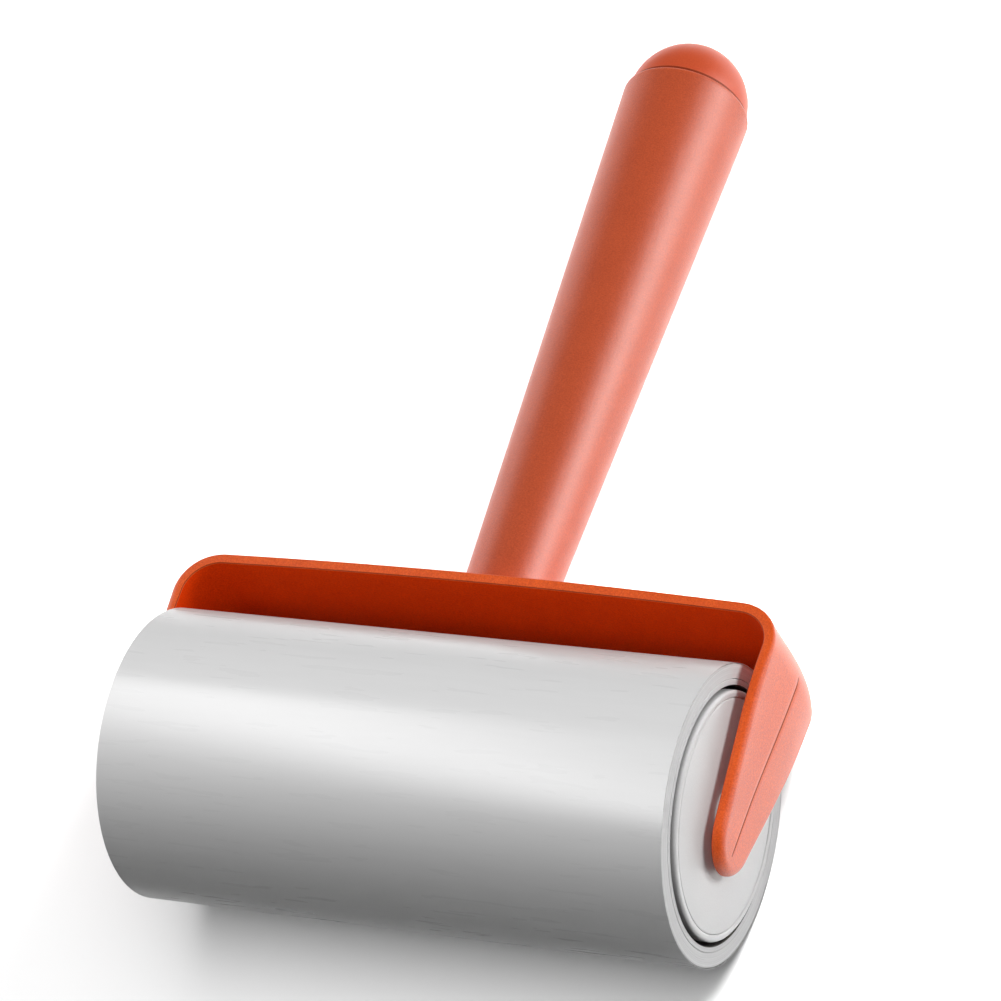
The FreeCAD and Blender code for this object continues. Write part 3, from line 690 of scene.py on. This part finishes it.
# %% [markdown]
# ## The drum's end caps
#
# A pale disc closes each end of the drum. Its rim is rounded, and a flat cover is let into its
# face, so two fine circles show round the arm. Cap and cover are turned. The left ones are the
# right ones in a mirror, which for an outline only means the other sign. The face lies a little
# lower than in the design, so the bush behind the arm's tip stands slightly out of the cover.

# %% Caps and covers
CAP_FACE = 50.6
CAP_BACK = 48.6
COVER_FLOOR = 50.05
COVER_RADIUS = 18.8
COVER_GROOVE = 0.07
COVER_EDGE = 0.3
COVER_HOLE = 4.65
COVER_FIT = 0.02
CAP_RADIUS = 20.0
CAP_ROUND = 0.5
LIP_ROUND = 0.25
LIP_OFFSET = 0.30
HUB_END = 44.8
HUB_RADIUS = 6.0
HUB_BORE = 3.4
SKIRT_END = 42.6
SKIRT_OUTER = 17.8
SKIRT_INNER = 15.9


def mirrored(outline, sign):
    return [(sign * place, radius) for place, radius in outline]


def make_cap(side, sign):
    lip = round_corner((CAP_FACE - LIP_ROUND, COVER_RADIUS + LIP_OFFSET), LIP_ROUND, -90, 0,
                       steps=4)
    rim_arc = round_corner((CAP_FACE - CAP_ROUND, CAP_RADIUS - CAP_ROUND), CAP_ROUND, 0, 90,
                           steps=12)
    outline = ([(HUB_END, HUB_BORE), (COVER_FLOOR, HUB_BORE),
                (COVER_FLOOR, COVER_RADIUS + COVER_FIT)]
               + lip + rim_arc
               + [(CAP_BACK, CAP_RADIUS), (CAP_BACK, SKIRT_OUTER), (SKIRT_END, SKIRT_OUTER),
                  (SKIRT_END, SKIRT_INNER), (CAP_BACK, SKIRT_INNER), (CAP_BACK, HUB_RADIUS),
                  (HUB_END, HUB_RADIUS)])
    cap = tell(turn_piece(f"{side}_drum_end", mirrored(outline, sign)))
    cap.data.materials.append(disc_plastic)
    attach(cap, "drum")
    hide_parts(f"{side}_drum_cap")


def make_cover(side, sign):
    face = CAP_FACE - COVER_GROOVE
    edge = round_corner((face - COVER_EDGE, COVER_RADIUS - COVER_EDGE), COVER_EDGE, 0, 90,
                        steps=6)
    outline = ([(COVER_FLOOR, COVER_HOLE), (face, COVER_HOLE)] + edge
               + [(COVER_FLOOR, COVER_RADIUS)])
    cover = tell(turn_piece(f"{side}_drum_cover", mirrored(outline, sign)))
    cover.data.materials.append(disc_plastic)
    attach(cover, "drum")
    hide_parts(f"{side}_cover_disc")


for side, sign in (("left", -1), ("right", 1)):
    make_cap(side, sign)
    make_cover(side, sign)

# %% [markdown]
# ## The wound strip
#
# The refill is one long strip of paper wound on a card core. It could be a plain ring with a
# texture, but then its end would be perfectly flat. A spiral follows a rule, so Geometry Nodes
# make it: a spiral curve from the core to the outside, a thin upright section swept along it,
# and a little sideways wander from turn to turn, as a winding machine leaves.

# %% Node helpers
def node_tree(name, inputs):
    """A new Geometry Nodes tree with named float or integer inputs."""
    tree = bpy.data.node_groups.new(name, "GeometryNodeTree")
    tree.interface.new_socket("Geometry", in_out="INPUT", socket_type="NodeSocketGeometry")
    for label, kind, value in inputs:
        socket = tree.interface.new_socket(label, in_out="INPUT", socket_type=kind)
        socket.default_value = value
    tree.interface.new_socket("Geometry", in_out="OUTPUT", socket_type="NodeSocketGeometry")
    return tree, tree.nodes.new("NodeGroupInput"), tree.nodes.new("NodeGroupOutput")


def bake_tree(name, tree, values):
    """Run a tree on an empty mesh with its inputs set; return a plain mesh piece."""
    host = bpy.data.objects.new(f"{name}_host", bpy.data.meshes.new(f"{name}_host"))
    bpy.context.scene.collection.objects.link(host)
    modifier = host.modifiers.new("shape", "NODES")
    modifier.node_group = tree
    for item in tree.interface.items_tree:
        if item.in_out == "INPUT" and item.name in values:
            modifier[item.identifier] = values[item.name]
    bpy.context.view_layer.update()
    graph = bpy.context.evaluated_depsgraph_get()
    mesh = bpy.data.meshes.new_from_object(host.evaluated_get(graph))
    bpy.data.objects.remove(host)
    mesh.name = name
    piece = bpy.data.objects.new(name, mesh)
    bpy.context.scene.collection.objects.link(piece)
    return piece


def end_tree(tree, geometry, output, material):
    """Close a tree with Realize Instances and Set Material."""
    real = tree.nodes.new("GeometryNodeRealizeInstances")
    paint = tree.nodes.new("GeometryNodeSetMaterial")
    paint.inputs["Material"].default_value = material
    tree.links.new(geometry, real.inputs["Geometry"])
    tree.links.new(real.outputs["Geometry"], paint.inputs["Geometry"])
    tree.links.new(paint.outputs["Geometry"], output.inputs["Geometry"])


# %% [markdown]
# The spiral lies flat when it is made, so the finished mesh is stood on the roll's axis and moved
# to its place afterwards, in its points. The turns are spaced a hair apart, which leaves the fine
# dark lines that the end of a real roll has.

# %% Wind the strip
CORE_BORE = 20.7
CORE_OUTER = 21.7
WOUND_OUTER = ROLL_RADIUS - SHEET
TURNS = 17


def winding_tree():
    tree, given, output = node_tree("winding", [
        ("Inner Radius", "NodeSocketFloat", 0.0217), ("Outer Radius", "NodeSocketFloat", 0.024),
        ("Turns", "NodeSocketFloat", 17.0), ("Strip Thickness", "NodeSocketFloat", 0.0001),
        ("Strip Width", "NodeSocketFloat", 0.1), ("Wander", "NodeSocketFloat", 0.00004),
        ("Seed", "NodeSocketInt", 5),
    ])
    make = tree.nodes.new
    link = tree.links.new
    spiral = make("GeometryNodeCurveSpiral")
    spiral.inputs["Resolution"].default_value = 96
    spiral.inputs["Height"].default_value = 0.0
    link(given.outputs["Turns"], spiral.inputs["Rotations"])
    link(given.outputs["Inner Radius"], spiral.inputs["Start Radius"])
    link(given.outputs["Outer Radius"], spiral.inputs["End Radius"])
    progress = make("GeometryNodeSplineParameter")
    turn_number = make("ShaderNodeMath")
    turn_number.operation = "MULTIPLY"
    link(progress.outputs["Factor"], turn_number.inputs[0])
    link(given.outputs["Turns"], turn_number.inputs[1])
    shifted = make("ShaderNodeMath")
    shifted.operation = "ADD"
    link(turn_number.outputs["Value"], shifted.inputs[0])
    link(given.outputs["Seed"], shifted.inputs[1])
    wobble = make("ShaderNodeTexNoise")
    wobble.noise_dimensions = "1D"
    wobble.inputs["Scale"].default_value = 1.3
    link(shifted.outputs["Value"], wobble.inputs["W"])
    centred = make("ShaderNodeMath")
    centred.operation = "SUBTRACT"
    centred.inputs[1].default_value = 0.5
    link(wobble.outputs["Fac"], centred.inputs[0])
    sideways = make("ShaderNodeMath")
    sideways.operation = "MULTIPLY"
    link(centred.outputs["Value"], sideways.inputs[0])
    link(given.outputs["Wander"], sideways.inputs[1])
    offset = make("ShaderNodeCombineXYZ")
    link(sideways.outputs["Value"], offset.inputs["Z"])
    place = make("GeometryNodeSetPosition")
    link(spiral.outputs["Curve"], place.inputs["Geometry"])
    link(offset.outputs["Vector"], place.inputs["Offset"])
    section = make("GeometryNodeCurvePrimitiveQuadrilateral")
    link(given.outputs["Strip Thickness"], section.inputs["Width"])
    link(given.outputs["Strip Width"], section.inputs["Height"])
    sweep = make("GeometryNodeCurveToMesh")
    sweep.inputs["Fill Caps"].default_value = True
    link(place.outputs["Geometry"], sweep.inputs["Curve"])
    link(section.outputs["Curve"], sweep.inputs["Profile Curve"])
    end_tree(tree, sweep.outputs["Mesh"], output, edge_paper)
    return tree


turn_pitch = (WOUND_OUTER - CORE_OUTER) / TURNS
winding = bake_tree("wound_sheets", winding_tree(), {
    "Inner Radius": (CORE_OUTER + turn_pitch / 2) * MM,
    "Outer Radius": (WOUND_OUTER - turn_pitch / 2) * MM,
    "Turns": float(TURNS),
    "Strip Thickness": turn_pitch * 0.96 * MM,
    "Strip Width": (ROLL_HALF * 2 - 0.12) * MM,
    "Wander": 0.015 * MM,
    "Seed": 5,
})
stand_on_axis = Matrix.Translation(roll_middle) @ Matrix.Rotation(math.pi / 2, 4, "Y")
winding.data.transform(stand_on_axis)
winding.data.shade_flat()
span = [max(v.co[i] for v in winding.data.vertices) - min(v.co[i] for v in winding.data.vertices)
        for i in range(3)]
print("winding spans", [round(v / MM, 2) for v in span], "mm")
tell(winding)
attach(winding, "drum")
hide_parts("adhesive_roll")

# %% [markdown]
# ## The card core
#
# The core is a plain card tube. Its ends are cut square, with the slightest softened edge.

# %% Core
soft = 0.12
core_outline = [
    (-ROLL_HALF, CORE_BORE + soft), (-ROLL_HALF + soft, CORE_BORE),
    (ROLL_HALF - soft, CORE_BORE), (ROLL_HALF, CORE_BORE + soft),
    (ROLL_HALF, CORE_OUTER - soft), (ROLL_HALF - soft, CORE_OUTER),
    (-ROLL_HALF + soft, CORE_OUTER), (-ROLL_HALF, CORE_OUTER - soft),
]
# The bore and its two chamfers get the near-black board: painted shade in the gap behind the cap.
core = tell(turn_piece("card_core", core_outline, second=(0, 1, 2)))
core.data.materials.append(core_board)
core.data.materials.append(bore_board_painted_shade)
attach(core, "drum")
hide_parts("paper_core")

# %% [markdown]
# ## The sheet in use
#
# The outermost sheet goes almost once round the roll. It starts at a row of perforations, where
# it hangs on to the next sheet, and ends in the edge where the last one was torn off, so that
# edge has small teeth at the pitch of the perforations. Both are real geometry: the slits are
# gaps between the sheet's faces, and the teeth are points of its edge.

# %% Outer sheet
PERFORATION_PITCH = 2.5
SLIT_LENGTH = 1.5
SLIT_WIDTH = 0.30
TOOTH = 0.35
TAIL_ANGLE = 100.0
SHEET_SWEEP = 354.0


def make_outer_sheet():
    """Faces of a thin wrapped sheet with slits near its start and a toothed tail."""
    cells = int(round(2 * ROLL_HALF / PERFORATION_PITCH))
    margin = (PERFORATION_PITCH - SLIT_LENGTH) / 2
    columns = [-ROLL_HALF]
    for cell in range(cells):
        start = -ROLL_HALF + cell * PERFORATION_PITCH
        columns += [start + margin, start + PERFORATION_PITCH / 2,
                    start + PERFORATION_PITCH - margin]
    columns.append(ROLL_HALF)
    slit_turn = math.degrees(SLIT_WIDTH / ROLL_RADIUS)
    slit_low = 1.2
    rows = [0.0, slit_low, slit_low + slit_turn]
    rows += list(np.linspace(slit_low + slit_turn, SHEET_SWEEP, 180)[1:])
    points, index = [], {}
    for layer, radius in enumerate((ROLL_RADIUS, ROLL_RADIUS - SHEET)):
        for r, row in enumerate(rows):
            for c, x in enumerate(columns):
                angle = row
                if r == len(rows) - 1 and c % 3 == 2:
                    angle -= math.degrees(TOOTH / ROLL_RADIUS)
                angle = math.radians(TAIL_ANGLE - angle)
                index[layer, r, c] = len(points)
                points.append((x, -radius * math.cos(angle), radius * math.sin(angle)))
    last_row, last_column = len(rows) - 1, len(columns) - 1
    kept = {(r, c) for r in range(last_row) for c in range(last_column)
            if not (r == 1 and c % 3 != 0)}
    faces = []
    for r, c in sorted(kept):
        for layer in (0, 1):
            faces.append((index[layer, r, c], index[layer, r, c + 1],
                          index[layer, r + 1, c + 1], index[layer, r + 1, c]))
        borders = (((r - 1, c), (r, c), (r, c + 1)), ((r + 1, c), (r + 1, c), (r + 1, c + 1)),
                   ((r, c - 1), (r, c), (r + 1, c)), ((r, c + 1), (r, c + 1), (r + 1, c + 1)))
        for beside, one, other in borders:
            if beside not in kept:
                faces.append((index[(0, *one)], index[(0, *other)],
                              index[(1, *other)], index[(1, *one)]))
    return lay_mesh("outer_sheet_in_use", points, faces)


outer_sheet = tell(make_outer_sheet())
outer_sheet.data.materials.append(sheet_paper)
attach(outer_sheet, "drum")
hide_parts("outer_sheet")

# %% [markdown]
# ## Inner metal and small mouldings
#
# The pins, bushes, washers, the screw and its brass insert have the right shape already, so
# their nodes stay and only get a finish. The pins are ground, so their noise is stretched round
# them. The brass has faint streaks, and the plastics get a weak grain.

# %% Finishes for the nodes that stay
def metal(name, colour, roughness, stretch):
    material, tree, shader, place = new_material(name)
    mapping = tree.nodes.new("ShaderNodeMapping")
    mapping.inputs["Scale"].default_value = stretch
    tree.links.new(place.outputs["Object"], mapping.inputs["Vector"])
    lines = tree.nodes.new("ShaderNodeTexNoise")
    lines.inputs["Scale"].default_value = 3000
    tree.links.new(mapping.outputs["Vector"], lines.inputs["Vector"])
    shader.inputs["Metallic"].default_value = 1.0
    tone = add_blend(tree, add_range(tree, lines.outputs["Fac"], 0, 1),
                     tuple(0.85 * v for v in colour), colour)
    tree.links.new(tone, shader.inputs["Base Color"])
    tree.links.new(add_range(tree, lines.outputs["Fac"], roughness - 0.06, roughness + 0.08),
                   shader.inputs["Roughness"])
    add_bump(tree, shader, lines.outputs["Fac"], 0.2, 0.00002)
    return material


ground_steel = metal("ground_steel", (0.62, 0.62, 0.63), 0.28, (1.0, 0.1, 0.1))
zinc_steel = metal("zinc_plated_steel", (0.60, 0.61, 0.62), 0.35, (1.0, 1.0, 1.0))
insert_brass = metal("turned_brass", (0.78, 0.56, 0.22), 0.32, (1.0, 1.0, 0.2))
nylon = grained_plastic("natural_nylon", (0.78, 0.76, 0.70), (0.84, 0.82, 0.77), 0.48, 0.10)
acetal = grained_plastic("white_acetal", (0.82, 0.82, 0.80), (0.87, 0.87, 0.86), 0.38, 0.06)
barrel_plastic = grained_plastic("plain_grey_barrel", (0.62, 0.62, 0.61),
                                 (0.68, 0.68, 0.67), 0.50, 0.25)
finishes = {
    "left_pivot_pin": ground_steel, "right_pivot_pin": ground_steel,
    "handle_screw": zinc_steel, "handle_screw_washer": zinc_steel,
    "spigot_insert": insert_brass,
    "left_thrust_washer": nylon, "right_thrust_washer": nylon,
    "left_bush": acetal, "right_bush": acetal,
    "drum_barrel": barrel_plastic,
}
for node, finish in finishes.items():
    piece = frame["nodes"][node]
    piece.data.materials.clear()
    piece.data.materials.append(finish)
print("finished nodes:", len(finishes))

# %% [markdown]
# ## Floor and light
#
# A plain pale floor carries the roller. It is left out of the diffuse bounce, so that the
# underside of the roll falls off to grey, as it does over a dark sweep. Gloss still mirrors it,
# and that gives the coral arm and the right side of the handle their pale haze.

# %% Floor
floor_mesh = bpy.data.meshes.new("floor")
FLOOR_REACH = 4.0
corners = [(-1, -1), (1, -1), (1, 1), (-1, 1)]
floor_mesh.from_pydata([(FLOOR_REACH * x, FLOOR_REACH * y, 0) for x, y in corners], [],
                       [(0, 1, 2, 3)])
floor = bpy.data.objects.new("floor", floor_mesh)
bpy.context.scene.collection.objects.link(floor)
floor_paint, floor_tree, floor_shader, floor_place = new_material("pale_floor")
floor_tone = add_blend(floor_tree, add_noise(floor_tree, floor_place, 3.0),
                       (0.88, 0.88, 0.88), (0.90, 0.90, 0.90))
floor_tree.links.new(floor_tone, floor_shader.inputs["Base Color"])
floor_shader.inputs["Roughness"].default_value = 0.9
floor_shader.inputs["Specular IOR Level"].default_value = 0.1
floor_mesh.materials.append(floor_paint)
floor.visible_diffuse = False
floor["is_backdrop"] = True
print("floor", FLOOR_REACH * 2, "m wide")

# %% [markdown]
# The light is a soft studio set: large boxes overhead, a narrow one that draws a soft highlight
# along the roll, one from behind for the roll's upper edge, one from in front for the band,
# bright ones low on the right that model the handle, the arm and the drum's end, and a weaker one
# on the left that draws the handle's edge and reaches the other end of the drum. Each is placed
# by the direction that it comes from and aimed near the middle of the roller. Light linking gives
# the roll, the yoke, the handle and the floor their own boxes, which in a studio is done with
# flags: black cards held between a lamp and the piece that it should miss. One of the floor's
# lamps takes no notice of the roller at all, so the shadow on the floor stays light. Some boxes
# only light the paint and some are only mirrored in it, like a lamp seen through a polarising
# sheet. Two glowing spots on the floor are there to be mirrored in the coral.

# %% Lights
AIM = Vector((0, -0.02, 0.02))


def softbox(name, way, distance, width, height, power, lit, only=None):
    """An area light from a direction, on some pieces; only can be "paint" or "gloss"."""
    data = bpy.data.lights.new(name, "AREA")
    data.shape = "RECTANGLE"
    data.size = width
    data.size_y = height
    data.energy = power
    lamp = bpy.data.objects.new(name, data)
    bpy.context.scene.collection.objects.link(lamp)
    way = Vector(way).normalized()
    lamp.location = AIM + way * distance
    lamp.rotation_mode = "QUATERNION"
    lamp.rotation_quaternion = way.to_track_quat("Z", "Y")
    lamp.visible_glossy = only != "paint"
    lamp.visible_diffuse = only != "gloss"
    group = bpy.data.collections.new(f"{name}_lights")
    for piece in lit:
        group.objects.link(piece)
    lamp.light_linking.receiver_collection = group
    return lamp


def floor_glow(name, place, width, power):
    """A small lamp above the floor that only brightens the floor; the camera can't see it."""
    glow = softbox(name, (0, 0, 1), 1, width, width, power, [floor])
    glow.location = place
    glow.visible_camera = False


yoke_pieces = [yoke_strip, spigot]
handle_pieces = [handle_tube, dome]
pale = [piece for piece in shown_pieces() if piece not in yoke_pieces + handle_pieces]
ends = [piece for piece in pale if piece != outer_sheet]
coral = yoke_pieces + handle_pieces
softbox("overhead_on_roll", (0.0, 0.13, 0.99), 0.9, 0.9, 0.5, 6.0, pale, only="paint")
softbox("back_on_roll", (0.0, 0.6, 0.80), 0.9, 0.9, 0.4, 1.1, [outer_sheet], only="paint")
softbox("strip_on_roll", (-0.42, -0.12, 0.90), 0.8, 1.0, 0.13, 8.2, pale, only="gloss")
softbox("overhead_on_floor", (0.1, 0.0, 1.0), 1.5, 1.8, 1.8, 22.0, [floor])
fill = softbox("fill_on_floor", (0.1, 0.0, 1.0), 1.5, 1.8, 1.8, 12.0, [floor])
fill.light_linking.blocker_collection = fill.light_linking.receiver_collection
softbox("overhead_on_yoke", (0.2, 0.15, 0.97), 0.9, 0.6, 0.6, 4.0, yoke_pieces, only="paint")
softbox("front_on_yoke", (0.1, -0.50, 0.86), 0.9, 0.5, 0.2, 1.7, yoke_pieces, only="paint")
softbox("overhead_on_handle", (-0.2, 0.3, 0.95), 0.9, 0.8, 0.8, 2.7, handle_pieces, only="paint")
softbox("right_key", (0.9, 0.42, 0.12), 0.9, 0.5, 0.5, 5.4, yoke_pieces + ends)
softbox("right_key_on_handle", (0.9, 0.42, 0.12), 0.9, 0.5, 0.5, 6.4, handle_pieces)
softbox("haze_on_handle", (0.87, 0.42, 0.18), 0.9, 0.6, 0.5, 9.0, handle_pieces, only="gloss")
softbox("left_rim", (-0.88, 0.3, 0.30), 0.9, 0.5, 0.5, 3.0, coral + ends)
floor_glow("glow_by_arm", (0.085, -0.01, 0.12), 0.08, 0.25)
floor_glow("glow_by_handle", (0.13, 0.07, 0.20), 0.15, 1.2)

# %% [markdown]
# The room itself gives a little light from every side, dimmer from below.

# %% World
world = bpy.data.worlds.new("studio")
world.use_nodes = True
bpy.context.scene.world = world
sky_tree = world.node_tree
backdrop = sky_tree.nodes["Background"]
sky_place = sky_tree.nodes.new("ShaderNodeTexCoord")
sky_parts = sky_tree.nodes.new("ShaderNodeSeparateXYZ")
sky_tree.links.new(sky_place.outputs["Generated"], sky_parts.inputs["Vector"])
height_range = sky_tree.nodes.new("ShaderNodeMapRange")
height_range.inputs["From Min"].default_value = -0.4
height_range.inputs["From Max"].default_value = 0.6
sky_tree.links.new(sky_parts.outputs["Z"], height_range.inputs["Value"])
sky_tone = add_blend(sky_tree, height_range.outputs["Result"], (0.005,) * 3, (0.12,) * 3)
sky_tree.links.new(sky_tone, backdrop.inputs["Color"])
bpy.context.scene.view_settings.view_transform = "Standard"
print("world:", world.name)
